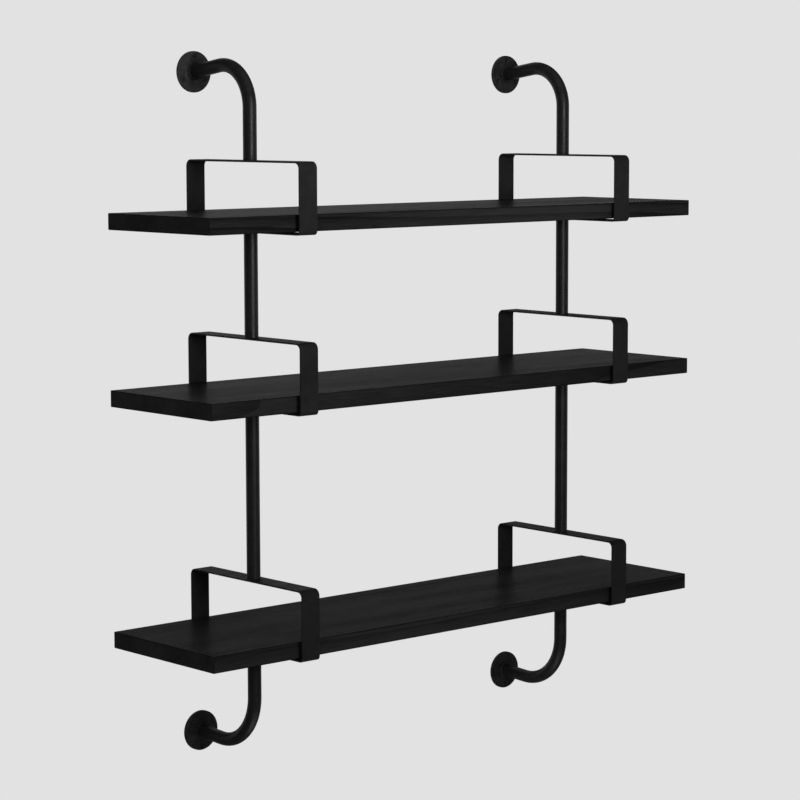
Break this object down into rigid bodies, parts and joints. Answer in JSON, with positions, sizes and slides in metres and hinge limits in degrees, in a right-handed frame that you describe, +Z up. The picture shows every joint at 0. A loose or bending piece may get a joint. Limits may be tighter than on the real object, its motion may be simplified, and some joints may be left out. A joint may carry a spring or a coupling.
{
  "type": "pipe shelving unit",
  "caption": "Wall-hung shelving unit: dark wooden boards held in loops of flat bar on two pipe uprights with bent ends and round wall flanges.",
  "frame": {"origin": "on the wall plane, midway between the two uprights and midway between the heights of the upper and the lower wall flanges", "axes": "+X right along the boards seen from the front, +Y back into the wall, +Z up"},
  "size_m": [1.2, 0.328, 1.297],
  "materials": {
    "boards": "black-stained wood, satin, with visible grain",
    "bar_loops": "fine-textured matte black powder coat",
    "pipes": "satin black powder coat",
    "flanges": "fine-textured matte black powder coat",
    "plugs": "turned steel",
    "machine_screws": "black oxide",
    "wood_screws": "black phosphate",
    "spacers": "matte black rubber"
  },
  "bodies": {
    "root": {"board_top": "boards", "loop_top_left": "bar_loops", "loop_top_right": "bar_loops", "spacers_top": "spacers", "board_screws_top": "wood_screws", "board_middle": "boards", "loop_middle_left": "bar_loops", "loop_middle_right": "bar_loops", "spacers_middle": "spacers", "board_screws_middle": "wood_screws", "board_bottom": "boards", "loop_bottom_left": "bar_loops", "loop_bottom_right": "bar_loops", "spacers_bottom": "spacers", "board_screws_bottom": "wood_screws", "flange_top_left": "flanges", "top_hook_left": "pipes", "top_hook_plug_left": "plugs", "upper_pipe_left": "pipes", "upper_pipe_plugs_left": "plugs", "lower_pipe_left": "pipes", "lower_pipe_plugs_left": "plugs", "bottom_hook_left": "pipes", "bottom_hook_plug_left": "plugs", "flange_bottom_left": "flanges", "joint_screws_left": "machine_screws", "flange_top_right": "flanges", "top_hook_right": "pipes", "top_hook_plug_right": "plugs", "upper_pipe_right": "pipes", "upper_pipe_plugs_right": "plugs", "lower_pipe_right": "pipes", "lower_pipe_plugs_right": "plugs", "bottom_hook_right": "pipes", "bottom_hook_plug_right": "plugs", "flange_bottom_right": "flanges", "joint_screws_right": "machine_screws"}
  },
  "joints": []
}
